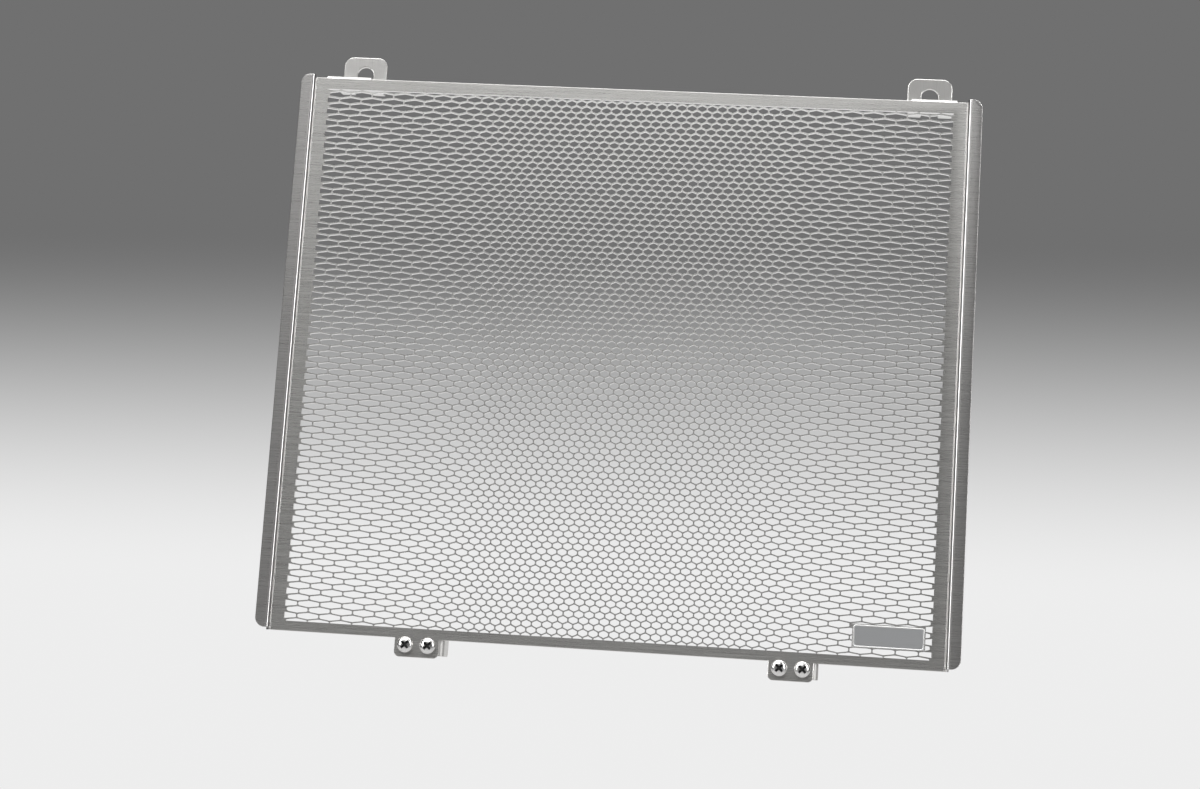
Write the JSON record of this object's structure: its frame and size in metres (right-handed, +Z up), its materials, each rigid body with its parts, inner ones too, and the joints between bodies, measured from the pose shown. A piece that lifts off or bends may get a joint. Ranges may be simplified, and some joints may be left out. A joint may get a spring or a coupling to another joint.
{
  "type": "motorcycle radiator guard",
  "caption": "Rectangular stainless mesh guard that hangs in front of a motorcycle's radiator core, with folded side flanges, slotted top stays and screwed lower brackets.",
  "frame": {"origin": "midway between the centres of the two stay slots, on the rear faces of the stays' tabs", "axes": "+X to the right seen from the front, -Y out of the guard's front, +Z up as it hangs on the bike"},
  "size_m": [0.3082, 0.041, 0.2814],
  "materials": {
    "panel_steel": "horizontally brushed stainless sheet, laser cut edges",
    "stay_steel": "satin stainless strip",
    "bracket_steel": "satin stainless strip",
    "screw_steel": "polished stainless",
    "nut_steel": "bright stainless"
  },
  "bodies": {
    "root": {"guard_panel": "panel_steel", "stay_left": "stay_steel", "bracket_left": "bracket_steel", "screw_left_outer": "screw_steel", "screw_left_inner": "screw_steel", "nut_left_outer": "nut_steel", "nut_left_inner": "nut_steel", "stay_right": "stay_steel", "bracket_right": "bracket_steel", "screw_right_outer": "screw_steel", "screw_right_inner": "screw_steel", "nut_right_outer": "nut_steel", "nut_right_inner": "nut_steel"}
  },
  "joints": []
}
